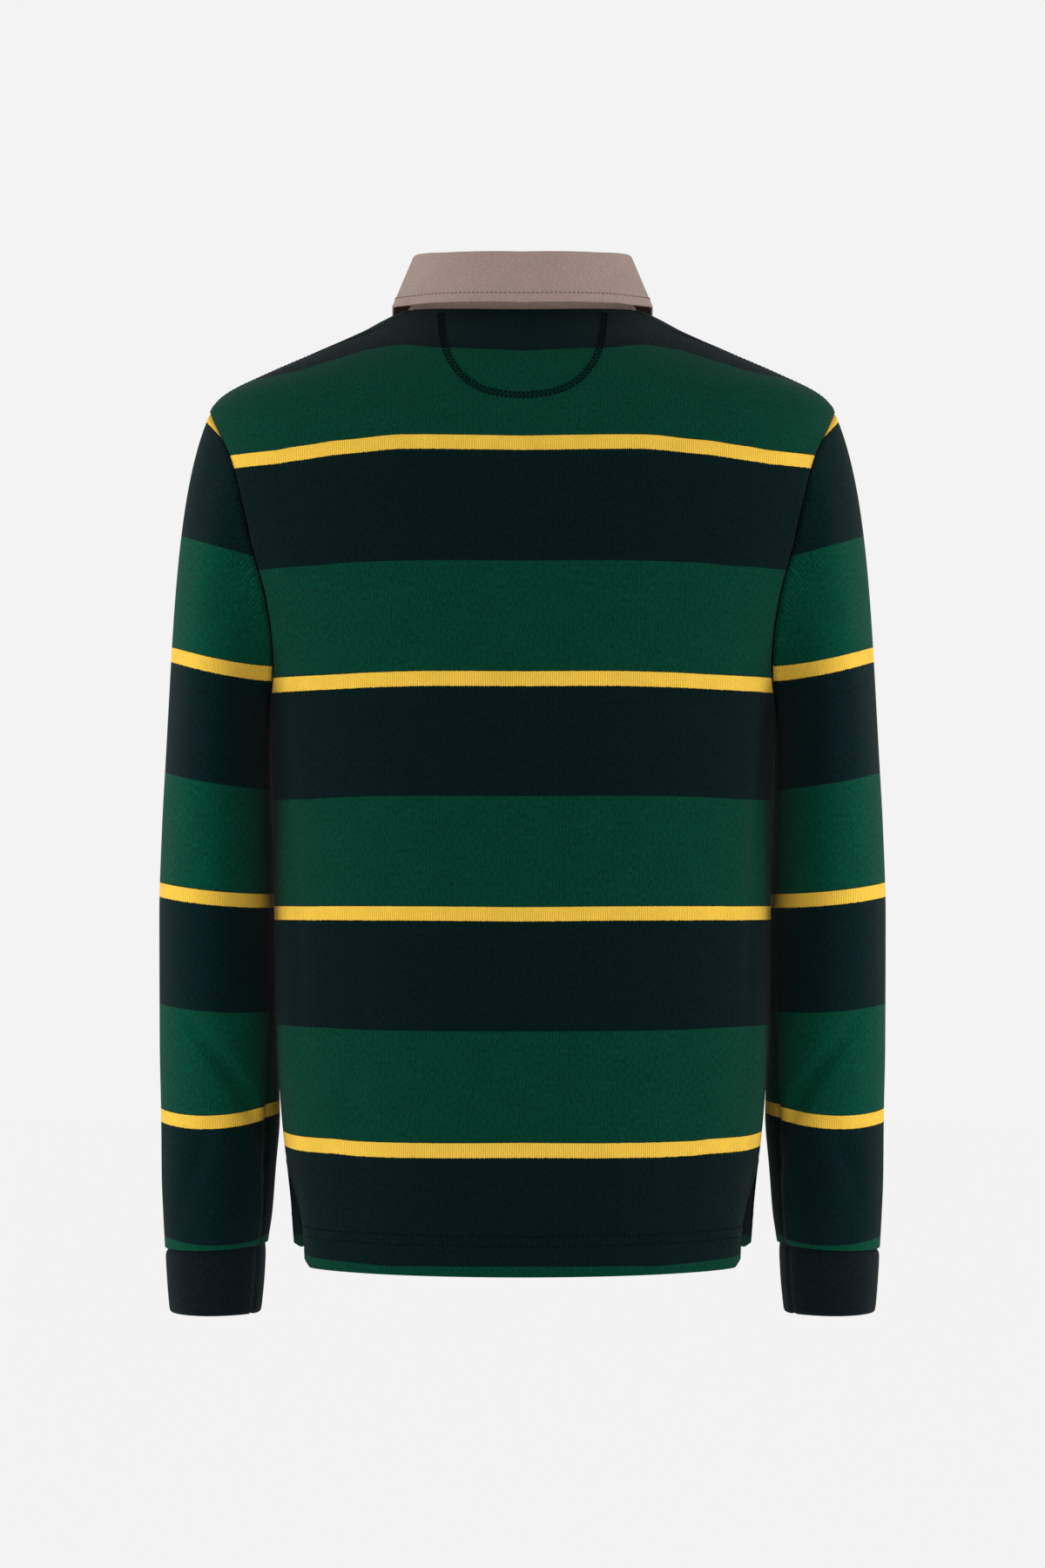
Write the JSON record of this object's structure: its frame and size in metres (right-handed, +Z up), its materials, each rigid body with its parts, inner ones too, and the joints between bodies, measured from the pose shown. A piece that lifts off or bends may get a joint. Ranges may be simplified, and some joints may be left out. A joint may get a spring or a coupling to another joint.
{
  "type": "rugby shirt",
  "caption": "Long-sleeved knitted shirt with a folded twill collar, short buttoned placket, plain cuffs and side vents, hollow and filled out as on a wearer.",
  "frame": {"origin": "middle of the neck opening, level with the sides of the neck", "axes": "+Z up, -Y towards the shirt's back (the side pictured), +X towards the wearer's right"},
  "size_m": [0.545, 0.2455, 0.7914],
  "materials": {
    "jersey": "matt brushed cotton jersey with wide plain stripes",
    "cuff_rib": "matt dark knit",
    "twill": "matt cotton twill",
    "button": "satin"
  },
  "bodies": {
    "root": {"back_panel": "jersey", "front_panel": "jersey", "sleeve_left": "jersey", "sleeve_right": "jersey", "cuff_left": "cuff_rib", "cuff_right": "cuff_rib", "collar": "twill", "placket_upper": "twill", "placket_under": "twill", "button_1": "button", "button_2": "button", "button_3": "button"}
  },
  "joints": []
}
